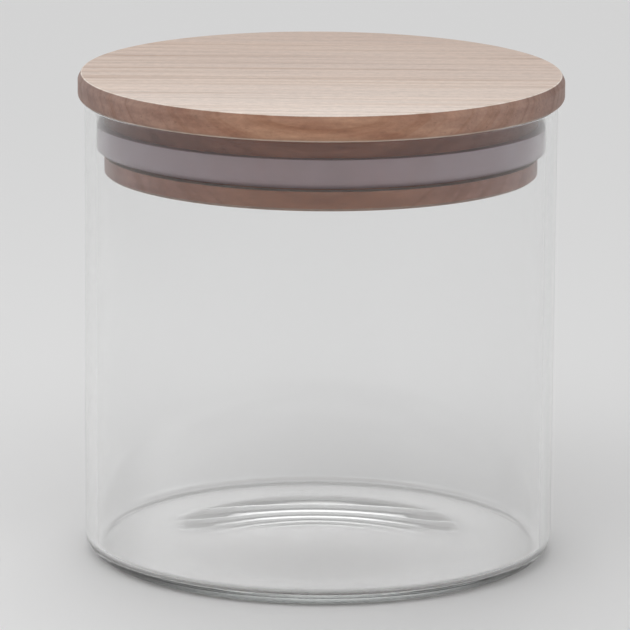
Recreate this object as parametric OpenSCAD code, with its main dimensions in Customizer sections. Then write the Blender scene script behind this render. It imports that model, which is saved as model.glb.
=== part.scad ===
// Lidded glass canister: a straight-sided glass jar, a turned wooden lid whose plug drops into
// the mouth, and a silicone ring in the plug's groove that seals against the glass.
// Millimetres, +Z up. The origin is the centre of the foot ring, on the surface it stands on.

/* [Glass jar] */
// Outer diameter of the glass
jar_d = 100; // [70:1:140]
// Height of the glass, from the foot ring to the rim
jar_h = 97.8; // [60:0.1:200]
// Thickness of the glass wall
wall = 2.5; // [1.8:0.1:3.5]
// Radius of the rounding along both edges of the rim
rim_r = 0.5; // [0.3:0.1:0.8]
// Thickness of the glass at the edge of the floor
floor_t = 2.4; // [2:0.1:6]
// Outer radius of the bottom corner
corner_r = 4; // [2:0.5:6]
// Radius of the corner between the wall and the floor, inside
inner_corner_r = 1.4; // [0.5:0.1:3]
// Width of the flat ring that the jar stands on
foot_w = 8.5; // [4:0.5:15]
// How far the middle of the floor is pushed up, underneath
push_up = 1.7; // [0:0.1:1.8]
// How far the middle of the floor rises, inside
floor_rise = 0.8; // [0:0.1:3]
// Radius of the part of the floor that rises, inside
floor_rise_r = 30; // [15:1:30]

/* [Wooden lid] */
// How far the top disc overhangs the glass, all round
overhang = 1.4; // [0.5:0.1:4]
// Thickness of the top disc
disc_t = 5.5; // [4.5:0.1:12]
// Height of the bevel round the top edge
bevel_h = 1.3; // [0.4:0.1:2]
// Width of the bevel round the top edge
bevel_w = 0.7; // [0.3:0.1:2]
// Radius of the rounding round the disc's lower edge
under_r = 1.2; // [0.5:0.1:2.4]
// Length of the plug below the disc
plug_h = 15.1; // [14.7:0.1:25]
// Gap between the plug and the glass, all round
plug_gap = 1.7; // [1:0.1:3]
// Chamfer round the foot of the plug
plug_chamfer = 0.6; // [0.2:0.1:1.5]

/* [Silicone seal] */
// Distance from the disc down to the top of the seal
neck_h = 4; // [2:0.1:5]
// Height of the seal
seal_h = 6.3; // [4:0.1:7]
// Thickness of the seal, from the groove's floor to the glass
seal_t = 3.6; // [3.4:0.1:5]
// Radius of the seal's lower outer edge, which leads it into the mouth
seal_lead_r = 2; // [0.5:0.1:2.5]
// Radius of the seal's upper outer edge
seal_top_r = 0.3; // [0.1:0.1:1]

/* [Hidden] */
$fn = 180;

// Running gap between the seal and the glass
seal_gap = 0.05;
// Space left under the seal in its groove
groove_slack = 0.7;
// Steps in a rounded corner, and in the curve of the floor
corner_steps = 8;
floor_steps = 16;

jar_r = jar_d / 2;
inner_r = jar_r - wall;
foot_outer_r = jar_r - corner_r;
foot_inner_r = foot_outer_r - foot_w;
floor_r = inner_r - inner_corner_r;

disc_r = jar_r + overhang;
plug_r = inner_r - plug_gap;
seal_r = inner_r - seal_gap;
groove_r = inner_r - seal_t;
lid_top = jar_h + disc_t;
plug_foot = jar_h - plug_h;
seal_top = jar_h - neck_h;
seal_foot = seal_top - seal_h;
groove_foot = seal_foot - groove_slack;

// Points of an arc about [r, z], from angle a to angle b
function arc(r, z, radius, a, b, steps) = [
    for (i = [0:steps])
        let (t = a + (b - a) * i / steps)
        [r + radius * cos(t), z + radius * sin(t)]
];

// Height of a smooth rise at distance r from the axis: the full rise on the axis, none from edge_r on
function bump(r, edge_r, rise) = rise * (1 + cos(180 * min(r / edge_r, 1))) / 2;

module glass_jar() {
    underside = [
        for (i = [0:floor_steps])
            let (r = foot_inner_r * i / floor_steps)
            [r, bump(r, foot_inner_r, push_up)]
    ];
    inside_floor = [
        for (i = [1:floor_steps])
            let (r = floor_r * (1 - i / floor_steps))
            [r, floor_t + bump(r, floor_rise_r, floor_rise)]
    ];
    color("lightcyan", 0.35)
    rotate_extrude()
    polygon(concat(
        underside,
        arc(foot_outer_r, corner_r, corner_r, -90, 0, corner_steps),
        arc(jar_r - rim_r, jar_h - rim_r, rim_r, 0, 90, corner_steps),
        arc(inner_r + rim_r, jar_h - rim_r, rim_r, 90, 180, corner_steps),
        arc(floor_r, floor_t + inner_corner_r, inner_corner_r, 0, -90, corner_steps),
        inside_floor
    ));
}

module wooden_lid() {
    color("burlywood")
    rotate_extrude()
    polygon(concat(
        [
            [0, plug_foot],
            [plug_r - plug_chamfer, plug_foot],
            [plug_r, plug_foot + plug_chamfer],
            [plug_r, groove_foot],
            [groove_r, groove_foot],
            [groove_r, seal_top],
            [plug_r, seal_top],
            [plug_r, jar_h]
        ],
        arc(disc_r - under_r, jar_h + under_r, under_r, -90, 0, corner_steps),
        [
            [disc_r, lid_top - bevel_h],
            [disc_r - bevel_w, lid_top],
            [0, lid_top]
        ]
    ));
}

module silicone_seal() {
    color("rosybrown", 0.8)
    rotate_extrude()
    polygon(concat(
        [[groove_r, seal_foot]],
        arc(seal_r - seal_lead_r, seal_foot + seal_lead_r, seal_lead_r, -90, 0, corner_steps),
        arc(seal_r - seal_top_r, seal_top - seal_top_r, seal_top_r, 0, 90, corner_steps),
        [[groove_r, seal_top]]
    ));
}

glass_jar();
wooden_lid();
silicone_seal();
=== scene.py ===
"""Lidded glass canister: the visual model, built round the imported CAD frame. Metres, +Z up."""

import math

import bmesh
import bpy
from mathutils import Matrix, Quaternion, Vector


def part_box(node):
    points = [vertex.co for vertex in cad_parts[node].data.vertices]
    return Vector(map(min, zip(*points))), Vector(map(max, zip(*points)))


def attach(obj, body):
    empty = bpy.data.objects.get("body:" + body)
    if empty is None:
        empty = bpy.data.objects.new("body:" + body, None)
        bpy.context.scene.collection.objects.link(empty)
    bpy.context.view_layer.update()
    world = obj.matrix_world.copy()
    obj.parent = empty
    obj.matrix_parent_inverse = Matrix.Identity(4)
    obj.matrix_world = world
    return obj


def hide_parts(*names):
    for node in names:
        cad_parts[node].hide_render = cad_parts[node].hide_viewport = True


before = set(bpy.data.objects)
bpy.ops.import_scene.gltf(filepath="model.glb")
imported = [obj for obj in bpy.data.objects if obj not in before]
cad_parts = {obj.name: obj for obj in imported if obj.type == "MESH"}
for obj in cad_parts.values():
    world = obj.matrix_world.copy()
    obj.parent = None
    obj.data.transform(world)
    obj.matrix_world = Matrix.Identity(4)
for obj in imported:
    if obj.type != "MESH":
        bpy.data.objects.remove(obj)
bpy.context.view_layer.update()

MM = 0.001

# Boxes of the three CAD nodes, which every piece here is measured from
jar_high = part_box("glass_jar")[1]
lid_low, lid_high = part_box("wooden_lid")
seal_low, seal_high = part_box("silicone_seal")

JAR_R = jar_high.x
JAR_H = jar_high.z
DISC_R = lid_high.x
LID_TOP = lid_high.z
PLUG_FOOT = lid_low.z
SEAL_R = seal_high.x
SEAL_FOOT = seal_low.z
SEAL_TOP = seal_high.z

# Glass jar. FLOOR_T is the floor's thickness at its edge. In the middle it rises by FLOOR_RISE
# inside, within FLOOR_RISE_R of the axis, and is pushed up by PUSH_UP underneath
WALL = 2.5 * MM
RIM_R = 0.5 * MM
CORNER_R = 4.0 * MM
INNER_CORNER_R = 1.4 * MM
FLOOR_T = 2.4 * MM
FLOOR_RISE = 0.8 * MM
FLOOR_RISE_R = 30 * MM
PUSH_UP = 1.7 * MM
FOOT_W = 8.5 * MM
INNER_R = JAR_R - WALL

# Wooden lid
PLUG_GAP = 1.7 * MM
PLUG_R = INNER_R - PLUG_GAP
PLUG_CHAMFER = 0.6 * MM
BEVEL_W = 0.7 * MM
BEVEL_H = 1.3 * MM
UNDER_R = 1.2 * MM

# Silicone seal, and its groove in the plug, which leaves some slack below the seal
SEAL_T = 3.6 * MM
SEAL_LEAD_R = 2.0 * MM
SEAL_TOP_R = 0.3 * MM
GROOVE_SLACK = 0.7 * MM
GROOVE_R = INNER_R - SEAL_T
GROOVE_FOOT = SEAL_FOOT - GROOVE_SLACK

# How far a sanded corner's curve reaches along its two faces
SANDED = 0.3 * MM

# A stretch of outline longer than LONG gets a point BRACE from each end
LONG = 0.8 * MM
BRACE = 0.03 * MM

# Steps round a turned piece, in its roundings and in the jar's floor
SEGMENTS = 256
CORNER_STEPS = 16
ROUND_STEPS = 12
RIM_STEPS = 8
SEAL_TOP_STEPS = 6
SANDED_STEPS = 5
FLOOR_STEPS = 120

# Edges sharper than SHARP_ANGLE shade as edges, and a point nearer the axis than ON_AXIS is on it
SHARP_ANGLE = math.radians(30)
ON_AXIS = 1e-6


# Outlines: lists of (radius, height), run so that the solid lies on their left


def arc(r, z, radius, start, end, steps):
    """Points of an arc about (r, z), from angle start to angle end, in degrees."""
    turns = [math.radians(start + (end - start) * i / steps) for i in range(steps + 1)]
    return [(r + radius * math.cos(t), z + radius * math.sin(t)) for t in turns]


def bump(r, edge, rise):
    """A smooth rise at distance r from the axis: all of it on the axis, none from edge outwards."""
    return rise * (1 + math.cos(math.pi * min(r / edge, 1))) / 2


def braced(outline):
    """The outline with a point close to each end of its long straight stretches.

    The shading of a rounding then stays on the rounding, and the straight stretches shade flat.
    """
    result = [outline[0]]
    for start, end in zip(outline, outline[1:]):
        way = Vector(end) - Vector(start)
        if way.length > LONG:
            inset = way.normalized() * BRACE
            result.append(tuple(Vector(start) + inset))
            result.append(tuple(Vector(end) - inset))
        result.append(end)
    return result


def eased(before, corner, after):
    """A sanded corner: a short curve in place of the corner between two other points of an outline."""
    ends = []
    for other in (before, after):
        away = Vector(other) - Vector(corner)
        ends.append(Vector(corner) + away.normalized() * SANDED)
    start, end = ends
    curve = []
    for i in range(SANDED_STEPS + 1):
        t = i / SANDED_STEPS
        curve.append(tuple(start * (1 - t) ** 2 + Vector(corner) * 2 * t * (1 - t) + end * t ** 2))
    return curve


def jar_outline():
    foot_out = JAR_R - CORNER_R
    foot_in = foot_out - FOOT_W
    floor_edge = INNER_R - INNER_CORNER_R
    rim = JAR_H - RIM_R
    underside = [foot_in * i / FLOOR_STEPS for i in range(FLOOR_STEPS + 1)]
    inside = [floor_edge * (1 - i / FLOOR_STEPS) for i in range(1, FLOOR_STEPS + 1)]
    return [
        *[(r, bump(r, foot_in, PUSH_UP)) for r in underside],
        *arc(foot_out, CORNER_R, CORNER_R, -90, 0, CORNER_STEPS),
        *arc(JAR_R - RIM_R, rim, RIM_R, 0, 90, RIM_STEPS),
        *arc(INNER_R + RIM_R, rim, RIM_R, 90, 180, RIM_STEPS),
        *arc(floor_edge, FLOOR_T + INNER_CORNER_R, INNER_CORNER_R, 0, -90, ROUND_STEPS),
        *[(r, FLOOR_T + bump(r, FLOOR_RISE_R, FLOOR_RISE)) for r in inside],
    ]


def lid_outline():
    side = (DISC_R, JAR_H + UNDER_R)
    bevel_foot = (DISC_R, LID_TOP - BEVEL_H)
    bevel_top = (DISC_R - BEVEL_W, LID_TOP)
    middle = (0, LID_TOP)
    return [
        (0, PLUG_FOOT),
        (PLUG_R - PLUG_CHAMFER, PLUG_FOOT),
        (PLUG_R, PLUG_FOOT + PLUG_CHAMFER),
        (PLUG_R, GROOVE_FOOT),
        (GROOVE_R, GROOVE_FOOT),
        (GROOVE_R, SEAL_TOP),
        (PLUG_R, SEAL_TOP),
        (PLUG_R, JAR_H),
        *arc(DISC_R - UNDER_R, JAR_H + UNDER_R, UNDER_R, -90, 0, ROUND_STEPS),
        *eased(side, bevel_foot, bevel_top),
        *eased(bevel_foot, bevel_top, middle),
        middle,
    ]


def seal_outline():
    return [
        (GROOVE_R, SEAL_FOOT),
        *arc(SEAL_R - SEAL_LEAD_R, SEAL_FOOT + SEAL_LEAD_R, SEAL_LEAD_R, -90, 0, ROUND_STEPS),
        *arc(SEAL_R - SEAL_TOP_R, SEAL_TOP - SEAL_TOP_R, SEAL_TOP_R, 0, 90, SEAL_TOP_STEPS),
        (GROOVE_R, SEAL_TOP),
    ]


def lathe(name, outline, closed):
    """A closed solid of revolution about Z. closed joins the outline's ends, for a ring."""
    mesh = bpy.data.meshes.new(name)
    bm = bmesh.new()
    turns = [2 * math.pi * i / SEGMENTS for i in range(SEGMENTS)]
    rows = []
    for r, z in outline:
        if r < ON_AXIS:
            rows.append([bm.verts.new((0, 0, z))])
        else:
            rows.append([bm.verts.new((r * math.cos(t), r * math.sin(t), z)) for t in turns])
    pairs = list(zip(rows, rows[1:]))
    if closed:
        pairs.append((rows[-1], rows[0]))
    for a, b in pairs:
        for i in range(SEGMENTS):
            j = (i + 1) % SEGMENTS
            corners = [a[i % len(a)], a[j % len(a)], b[j % len(b)], b[i % len(b)]]
            face = list(dict.fromkeys(corners))
            if len(face) > 2:
                bm.faces.new(face)
    bmesh.ops.recalc_face_normals(bm, faces=bm.faces)
    for face in bm.faces:
        face.smooth = True
    bm.to_mesh(mesh)
    bm.free()
    mesh.set_sharp_from_angle(angle=SHARP_ANGLE)
    piece = bpy.data.objects.new(name, mesh)
    bpy.context.scene.collection.objects.link(piece)
    return piece


# Materials


class Nodes:
    """A node tree, with short calls for the nodes that the materials and the sky share."""

    def __init__(self, tree):
        self.tree = tree

    def link(self, socket, value):
        """Sets a socket, or feeds it from another node's output."""
        if isinstance(value, bpy.types.NodeSocket):
            self.tree.links.new(value, socket)
        else:
            socket.default_value = value

    def node(self, kind, **inputs):
        """A new node with inputs set by name, where _ stands for a space. Returns its output."""
        made = self.tree.nodes.new(kind)
        for name, value in inputs.items():
            self.link(made.inputs[name.replace("_", " ")], value)
        return made.outputs[0]

    def math(self, operation, a, b=0.0):
        made = self.tree.nodes.new("ShaderNodeMath")
        made.operation = operation
        self.link(made.inputs[0], a)
        self.link(made.inputs[1], b)
        return made.outputs[0]

    def add(self, a, b):
        return self.math("ADD", a, b)

    def times(self, a, b):
        return self.math("MULTIPLY", a, b)

    def coordinate(self, name):
        return self.tree.nodes.new("ShaderNodeTexCoord").outputs[name]

    def place(self):
        """The point on the piece, in millimetres."""
        made = self.tree.nodes.new("ShaderNodeVectorMath")
        made.operation = "SCALE"
        made.inputs["Scale"].default_value = 1 / MM
        self.link(made.inputs[0], self.coordinate("Object"))
        return made.outputs[0]

    def stretch(self, vector, scale):
        made = self.tree.nodes.new("ShaderNodeVectorMath")
        made.operation = "MULTIPLY"
        self.link(made.inputs[0], vector)
        made.inputs[1].default_value = scale
        return made.outputs[0]

    def noise(self, vector, scale, detail=2.0, roughness=0.5):
        """Noise of about -0.5 to 0.5. scale is per millimetre: one number, or one along each axis."""
        if not isinstance(scale, tuple):
            scale = (scale, scale, scale)
        value = self.node("ShaderNodeTexNoise", Vector=self.stretch(vector, scale),
                          Scale=1.0, Detail=detail, Roughness=roughness)
        return self.math("SUBTRACT", value, 0.5)

    def span(self, value, low, high, out_low=0.0, out_high=1.0):
        """value taken from low..high to out_low..out_high, held at the ends."""
        return self.node("ShaderNodeMapRange", Value=value, From_Min=low, From_Max=high,
                         To_Min=out_low, To_Max=out_high)

    def mix(self, factor, a, b, blend="MIX"):
        """Colour a turned into colour b as factor goes from 0 to 1."""
        made = self.tree.nodes.new("ShaderNodeMix")
        made.data_type = "RGBA"
        made.blend_type = blend
        self.link(made.inputs["Factor"], factor)
        self.link(made.inputs["A"], (*a, 1) if isinstance(a, tuple) else a)
        self.link(made.inputs["B"], (*b, 1) if isinstance(b, tuple) else b)
        return made.outputs["Result"]

    def tint(self, factor, colour, filter_colour):
        """colour multiplied by filter_colour, as far as factor says."""
        return self.mix(factor, colour, filter_colour, "MULTIPLY")

    def ramp(self, factor, stops):
        """A colour ramp through stops of (place, grey)."""
        made = self.tree.nodes.new("ShaderNodeValToRGB")
        elements = made.color_ramp.elements
        while len(elements) < len(stops):
            elements.new(0.5)
        for element, (at, grey) in zip(elements, stops):
            element.position = at
            element.color = (grey, grey, grey, 1)
        self.link(made.inputs[0], factor)
        return made.outputs[0]

    def combine(self, x, y, z):
        return self.node("ShaderNodeCombineXYZ", X=x, Y=y, Z=z)

    def split(self, vector):
        """The three parts of a vector."""
        made = self.tree.nodes.new("ShaderNodeSeparateXYZ")
        self.link(made.inputs[0], vector)
        return made.outputs

    def upright(self):
        """1 where the surface faces straight up or down, 0 where it is a vertical side."""
        return self.math("ABSOLUTE", self.split(self.coordinate("Normal"))[2])


class Shader(Nodes):
    """A material on the Principled shader."""

    def __init__(self, name):
        self.material = bpy.data.materials.new(name)
        self.material.use_nodes = True
        super().__init__(self.material.node_tree)
        self.surface = self.tree.nodes["Principled BSDF"]

    def bump(self, height, distance):
        """Surface relief: height 1 stands distance millimetres proud."""
        return self.node("ShaderNodeBump", Height=height, Strength=1.0, Distance=distance * MM)

    def set(self, **inputs):
        for name, value in inputs.items():
            self.link(self.surface.inputs[name.replace("_", " ")], value)


# Slight waves in the glass, as noise scales per mm and a height in mm, then what the glass absorbs
GLASS_WAVES = (0.05, 0.05, 0.02)
GLASS_WAVE_HEIGHT = 0.02
GLASS_TINT = (0.5, 0.52, 0.515, 1)
GLASS_DENSITY = 17.0


def glass_material():
    shader = Shader("clear_glass")
    waves = shader.noise(shader.place(), GLASS_WAVES, detail=1.0)
    shader.set(
        Base_Color=(1.0, 1.0, 1.0, 1),
        Transmission_Weight=1.0,
        IOR=1.47,
        Roughness=0.0,
        Normal=shader.bump(waves, GLASS_WAVE_HEIGHT),
    )
    # A long way through the wall, as at the jar's sides, looks a little darker
    inside = shader.node("ShaderNodeVolumeAbsorption", Color=GLASS_TINT, Density=GLASS_DENSITY)
    shader.link(shader.tree.nodes["Material Output"].inputs["Volume"], inside)
    return shader.material


# Growth rings across the lid's top: distance in front of the lid's middle, in mm, and depth of tone
RINGS = (
    (-43, 0.35), (-32, 0.8), (-27, 0.3), (-18, 1.0), (-10, 0.45), (-3, 0.7), (1, 0.55),
    (9, 1.0), (16, 0.6), (26, 0.6),
)
# A ring's tone across its line: distance from it, in mm, and share of the depth of tone
RING_PROFILE = ((-1.6, 0.15), (-0.1, 1.0), (0.45, 0.0))
# The rings' ramp reaches this far each way from the lid's middle, in mm
RING_REACH = 62.0
# Slope of the rings
GRAIN_TILT = math.radians(32)

# Noise scales, per mm along X, Y and Z. All are stretched along the grain, which runs along X
WANDER = (0.008, 0.03, 0.03)
WAVER = (0.03, 0.15, 0.15)
RING_BREAKS = (0.03, 0.25, 0.25)
STREAKS = (0.014, 0.45, 0.45)
FIBRES = (0.45, 0.9, 0.9)
PORES = (0.12, 1.4, 1.4)
SLOW_TONE = (0.014, 0.05, 0.05)
BLOTCHES = (0.05, 0.10, 0.35)

# Hairlines are noise in three measures: along the grain, across the rings, and downwards
HAIR_SCALE = 0.8
HAIR_ALONG = 0.01
HAIR_DOWN = 0.05

# The slow noise of about -0.5 to 0.5 moves the rings by this many times itself, in mm
WANDER_BY = 5.0

# The stretch of each noise that takes its effect from none to all of it
RING_BREAK_SPAN = (-0.16, 0.14)
HAIR_SPAN = (0.0, 0.14)
PORE_SPAN = (0.17, 0.27)
STREAK_SPAN = (-0.3, 0.3)
WARM_SPAN = (-0.25, 0.25)
BLOTCH_SPAN = (-0.22, 0.22)

# What is left of a ring line where it is faintest, and the share of the warm tone at its strongest
FAINTEST_RING = 0.2
WARMEST = 0.35

# How much streaks, fibres and pores change the wood's tone, the roughness of dark and light
# streaks, and the relief: the fibres' share next to the pores', and the height in mm
STREAK_TONE = 0.45
FIBRE_TONE = 0.6
PORE_TONE = 0.16
STREAK_ROUGHNESS = (0.45, 0.6)
FIBRE_RELIEF = 0.5
WOOD_RELIEF = 0.03

# Colours of the flat faces: the front's is paler with painted sheen, and the arris's is a painted
# highlight
FLAT_BACK = (0.48, 0.353, 0.287)
FLAT_FRONT_SHEEN = (0.71, 0.60, 0.53)
FLAT_WARM = (0.66, 0.52, 0.42)
ARRIS_HIGHLIGHT = (0.84, 0.76, 0.69)

# Colours of the turned sides, as (darker patches, lighter patches): the disc's in the middle and
# at its left and right ends, and the plug's in the same two places. The ends' colours are painted
# sheen, and on the disc painted shade too
SIDE = ((0.29, 0.135, 0.082), (0.45, 0.255, 0.16))
SIDE_ENDS_SHEEN_SHADE = ((0.215, 0.13, 0.108), (0.315, 0.21, 0.175))
PLUG = ((0.31, 0.125, 0.07), (0.44, 0.205, 0.12))
PLUG_ENDS_SHEEN = ((0.31, 0.175, 0.155), (0.44, 0.265, 0.24))

# Filters: painted shade on the neck above the seal, in the middle and at its ends, then the ring lines
# and the hairlines
NECK_SHADE = (0.86, 0.70, 0.66)
NECK_ENDS_SHADE = (0.50, 0.42, 0.40)
RING_LINE = (0.74, 0.62, 0.53)
HAIRLINE = (0.87, 0.81, 0.76)

# Places in mm: the top's painted sheen from back to front, where the ends' painted sheen and shade
# start and are complete, and half the height over which one colour turns into the next
TOP_SHADE_REACH = 48
WOOD_ENDS = (12, 50)
BLEND = 0.2

# How the top's painted sheen gathers towards the front
TOP_SHADE_POWER = 1.6

# How upright a face looks, 0 for a side and 1 for a top, where sides turn into flats
WOOD_FLAT = (0.55, 0.9)

# The arris's painted highlight: upright enough to be off the side, not so upright as to be on the top,
# and within
# ARRIS_DEPTH mm of the top at full strength
ARRIS_OFF_SIDE = (0.6, 0.8)
ARRIS_OFF_TOP = (0.99, 0.93)
ARRIS_DEPTH = 0.8
ARRIS_STRENGTH = 0.8


def ring_depth(shader, place):
    """Distance across the rings in mm, bowed a little along the grain.

    The rings slope, so they run on from the top down through the disc and the plug.
    """
    parts = shader.split(place)
    wander = shader.times(shader.noise(place, WANDER, detail=1.0), WANDER_BY)
    bow = shader.add(wander, shader.noise(place, WAVER))
    across = shader.times(parts[1], -math.cos(GRAIN_TILT))
    below_top = shader.math("SUBTRACT", parts[2], LID_TOP / MM)
    down = shader.times(below_top, math.sin(GRAIN_TILT))
    return shader.add(shader.add(across, down), bow)


def ring_lines(shader, place, depth):
    """How strong the ring lines are. Each ring darkens slowly to its line, then starts again light."""
    stops = [(0.0, 0.0)]
    for ahead, tone in RINGS:
        line = ahead * math.cos(GRAIN_TILT)
        for step, share in RING_PROFILE:
            stops.append(((line + step + RING_REACH) / (2 * RING_REACH), tone * share))
    stops.append((1.0, 0.0))
    lines = shader.ramp(shader.span(depth, -RING_REACH, RING_REACH), stops)
    breaks = shader.noise(place, RING_BREAKS, detail=3.0)
    return shader.times(lines, shader.span(breaks, *RING_BREAK_SPAN, FAINTEST_RING, 1.0))


def hairlines(shader, place, depth):
    """How strong the fine dark lines between the rings are."""
    parts = shader.split(place)
    run = shader.combine(shader.times(parts[0], HAIR_ALONG), depth, shader.times(parts[2], HAIR_DOWN))
    return shader.span(shader.noise(run, HAIR_SCALE, detail=2.0, roughness=0.6), *HAIR_SPAN)


def flat_colour(shader, place):
    """The wood's flat faces are pale, and paler to the front with a painted sheen."""
    front_sheen = shader.span(shader.split(place)[1], TOP_SHADE_REACH, -TOP_SHADE_REACH)
    front_sheen = shader.math("POWER", front_sheen, TOP_SHADE_POWER)
    warmth = shader.span(shader.noise(place, SLOW_TONE, detail=2.0), *WARM_SPAN, 0.0, WARMEST)
    return shader.mix(warmth, shader.mix(front_sheen, FLAT_BACK, FLAT_FRONT_SHEEN), FLAT_WARM)


def turned_colour(shader, place):
    """The turned sides are browner, the plug's most of all, and its neck under the disc is darker again
    with painted shade.

    Towards the left and right ends they turn greyer with painted sheen, and the disc's side darker with
    painted shade.
    """
    parts = shader.split(place)
    blotches = shader.noise(place, BLOTCHES, detail=3.0, roughness=0.6)
    patch = shader.span(blotches, *BLOTCH_SPAN)
    endness = shader.span(shader.math("ABSOLUTE", parts[0]), *WOOD_ENDS)
    rim, seal_top = JAR_H / MM, SEAL_TOP / MM
    in_mouth = shader.span(parts[2], rim + BLEND, rim - BLEND)
    in_neck = shader.span(parts[2], seal_top - BLEND, seal_top + BLEND)
    # Towards the left and right ends: painted sheen, and on the disc's side painted shade
    side = shader.mix(endness, shader.mix(patch, *SIDE), shader.mix(patch, *SIDE_ENDS_SHEEN_SHADE))
    plug = shader.mix(endness, shader.mix(patch, *PLUG), shader.mix(patch, *PLUG_ENDS_SHEEN))
    # Painted shade on the neck under the disc
    shaded_neck = shader.tint(1.0, plug, shader.mix(endness, NECK_SHADE, NECK_ENDS_SHADE))
    return shader.mix(in_mouth, side, shader.mix(in_neck, plug, shaded_neck))


def arris_highlight(shader, place, upright):
    """A painted highlight on the sanded edges of the bevel, where they catch the light."""
    sloping = shader.times(shader.span(upright, *ARRIS_OFF_SIDE), shader.span(upright, *ARRIS_OFF_TOP))
    high = shader.span(shader.split(place)[2], (LID_TOP - BEVEL_H) / MM, LID_TOP / MM - ARRIS_DEPTH)
    return shader.times(shader.times(sloping, high), ARRIS_STRENGTH)


def wood_material():
    """Solid wood: the grain runs along X and the growth rings slope through the disc and the plug."""
    shader = Shader("wood")
    place = shader.place()
    depth = ring_depth(shader, place)
    upright = shader.upright()
    streaks = shader.noise(place, STREAKS, detail=4.0, roughness=0.75)
    fibres = shader.noise(place, FIBRES, detail=3.0, roughness=0.8)
    pores = shader.span(shader.noise(place, PORES, detail=1.0), *PORE_SPAN)

    flatness = shader.span(upright, *WOOD_FLAT)
    colour = shader.mix(flatness, turned_colour(shader, place), flat_colour(shader, place))
    # Painted highlight along the bevel's sanded top edge
    colour = shader.mix(arris_highlight(shader, place, upright), colour, ARRIS_HIGHLIGHT)
    colour = shader.tint(ring_lines(shader, place, depth), colour, RING_LINE)
    colour = shader.tint(hairlines(shader, place, depth), colour, HAIRLINE)

    light = shader.add(1.0, shader.times(streaks, STREAK_TONE))
    light = shader.add(light, shader.times(fibres, FIBRE_TONE))
    light = shader.math("SUBTRACT", light, shader.times(pores, PORE_TONE))
    shade = shader.node("ShaderNodeCombineColor", Red=light, Green=light, Blue=light)

    relief = shader.math("SUBTRACT", shader.times(fibres, FIBRE_RELIEF), pores)
    shader.set(
        Base_Color=shader.tint(1.0, colour, shade),
        Roughness=shader.span(streaks, *STREAK_SPAN, *STREAK_ROUGHNESS),
        Specular_IOR_Level=0.4,
        Normal=shader.bump(relief, WOOD_RELIEF),
    )
    return shader.material


# Colours of the seal, as (darker patches, lighter patches), in the middle and at its left and right
# ends, where they are a painted sheen, then the painted shade of its flat faces. The places where the
# ends' colours start and are complete are in mm
MILK = ((0.80, 0.62, 0.65), (0.87, 0.68, 0.73))
SEAL_ENDS_SHEEN = ((0.92, 0.80, 0.87), (0.97, 0.87, 0.95))
SEAL_FLAT_SHADE = (0.34, 0.20, 0.23)
SEAL_ENDS = (12, 46)
SEAL_FLAT = (0.4, 0.9)
CLOUD_SCALE = 0.15
CLOUD_SPAN = (-0.2, 0.2)
CLOUD_RELIEF = 0.05


def silicone_material():
    """Milky, half-clear silicone: paler to the left and right with painted sheen, and darker on its
    flat faces with painted shade.
    """
    shader = Shader("silicone")
    place = shader.place()
    clouds = shader.noise(place, CLOUD_SCALE, detail=2.0)
    cloudy = shader.span(clouds, *CLOUD_SPAN)
    endness = shader.span(shader.math("ABSOLUTE", shader.split(place)[0]), *SEAL_ENDS)
    # Paler towards the left and right ends: painted sheen
    colour = shader.mix(endness, shader.mix(cloudy, *MILK), shader.mix(cloudy, *SEAL_ENDS_SHEEN))
    flatness = shader.span(shader.upright(), *SEAL_FLAT)
    shader.set(
        # Painted shade on the seal's flat faces
        Base_Color=shader.mix(flatness, colour, SEAL_FLAT_SHADE),
        Transmission_Weight=0.5,
        Roughness=0.38,
        IOR=1.41,
        Normal=shader.bump(clouds, CLOUD_RELIEF),
    )
    return shader.material


# Stage

TABLE_R = 6
TABLE_SEGMENTS = 96
TABLE_GAP = 0.05 * MM


def floor():
    """A pale table, a hair below the foot ring so that the two faces don't coincide."""
    mesh = bpy.data.meshes.new("floor")
    bm = bmesh.new()
    bmesh.ops.create_circle(bm, cap_ends=True, radius=TABLE_R, segments=TABLE_SEGMENTS)
    bm.to_mesh(mesh)
    bm.free()
    piece = bpy.data.objects.new("floor", mesh)
    bpy.context.scene.collection.objects.link(piece)
    piece.location.z = -TABLE_GAP
    shader = Shader("floor")
    shader.set(Base_Color=(0.8, 0.8, 0.8, 1), Roughness=1.0, Specular_IOR_Level=0.0)
    mesh.materials.append(shader.material)


# Soft lights all round: azimuth from the back towards +X, elevation, sharpness, strength
SKY = (
    (0, 10, 10, 1.0),
    (0, 50, 8, 1.7),
    (90, 10, 10, 1.9),
    (135, 20, 8, 1.0),
    (180, 40, 8, 0.5),
    (225, 40, 8, 1.2),
    (270, 10, 8, 0.7),
    (315, 10, 10, 0.7),
)


def sky():
    """Each light is a lobe that falls off smoothly with the angle from its middle."""
    world = bpy.data.worlds.new("studio")
    bpy.context.scene.world = world
    world.use_nodes = True
    nodes = Nodes(world.node_tree)
    direction = nodes.coordinate("Generated")
    total = 0.0
    for azimuth, elevation, sharpness, strength in SKY:
        turn, lift = math.radians(azimuth), math.radians(elevation)
        towards = world.node_tree.nodes.new("ShaderNodeVectorMath")
        towards.operation = "DOT_PRODUCT"
        nodes.link(towards.inputs[0], direction)
        towards.inputs[1].default_value = (
            math.cos(lift) * math.sin(turn), math.cos(lift) * math.cos(turn), math.sin(lift)
        )
        off = nodes.math("SUBTRACT", towards.outputs["Value"], 1.0)
        lobe = nodes.math("EXPONENT", nodes.times(off, sharpness))
        total = nodes.add(nodes.times(lobe, strength), total)
    background = world.node_tree.nodes["Background"]
    background.inputs["Color"].default_value = (1, 1, 1, 1)
    nodes.link(background.inputs["Strength"], total)


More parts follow.
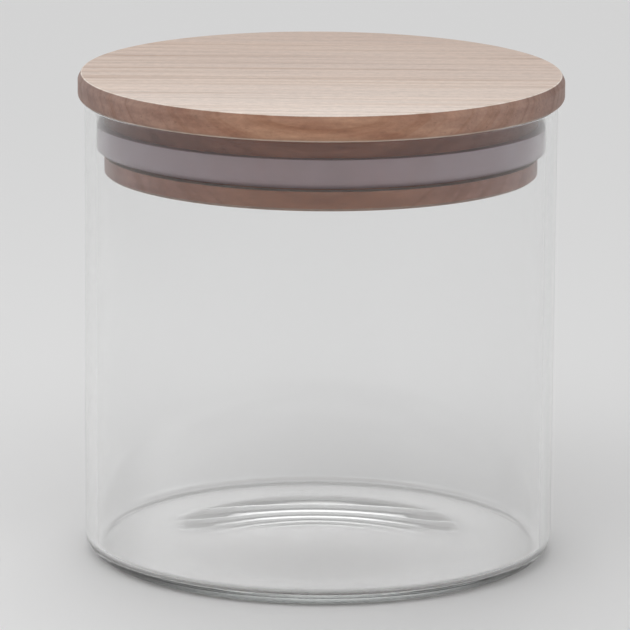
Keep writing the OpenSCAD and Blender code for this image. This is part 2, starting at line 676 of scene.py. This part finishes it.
def panel(name, place, aim, width, height, radiance):
    """A soft box: a flat light that the camera doesn't see, but the glass mirrors."""
    data = bpy.data.lights.new(name, "AREA")
    data.shape = "RECTANGLE"
    data.size = width
    data.size_y = height
    data.energy = radiance * math.pi * width * height
    light = bpy.data.objects.new(name, data)
    bpy.context.scene.collection.objects.link(light)
    light.location = place
    light.rotation_euler = (Vector(aim) - Vector(place)).to_track_quat("-Z", "Y").to_euler()
    light.visible_camera = False


def camera():
    """The photograph's viewing angle and framing."""
    elevation = math.radians(12.73)
    distance = 1.1296
    roll = math.radians(0.424)
    aim = Vector((-1.0 * MM, 0, 50.7 * MM))
    data = bpy.data.cameras.new("camera")
    data.sensor_width = 36
    data.lens = 302.9
    data.clip_end = 20
    cam = bpy.data.objects.new("camera", data)
    bpy.context.scene.collection.objects.link(cam)
    cam.location = (0, -distance * math.cos(elevation), aim.z + distance * math.sin(elevation))
    look = (aim - cam.location).to_track_quat("-Z", "Y")
    cam.rotation_mode = "QUATERNION"
    cam.rotation_quaternion = look @ Quaternion((0, 0, 1), roll)
    bpy.context.scene.camera = cam


def add_piece(name, outline, closed, material, node, body):
    piece = lathe(name, braced(outline), closed)
    piece.data.materials.append(material)
    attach(piece, body)
    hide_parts(node)


camera()
sky()
panel("left_panel", place=(-0.30, -0.02, 0.20), aim=(0, 0, 0.06), width=0.45, height=0.26, radiance=0.4)
panel("front_panel", place=(0, -0.25, 0.45), aim=(0, 0, 0.08), width=0.4, height=0.2, radiance=1.1)
floor()
add_piece("jar", jar_outline(), False, glass_material(), "glass_jar", "jar")
add_piece("lid", lid_outline(), False, wood_material(), "wooden_lid", "lid")
add_piece("seal", seal_outline(), True, silicone_material(), "silicone_seal", "lid")

bpy.context.scene.view_settings.view_transform = "Standard"

# The glass wall guides light from the foot to the rim in dozens of inner reflections
GLASS_BOUNCES = 96
cycles = bpy.context.scene.cycles
cycles.max_bounces = cycles.glossy_bounces = cycles.transmission_bounces = GLASS_BOUNCES
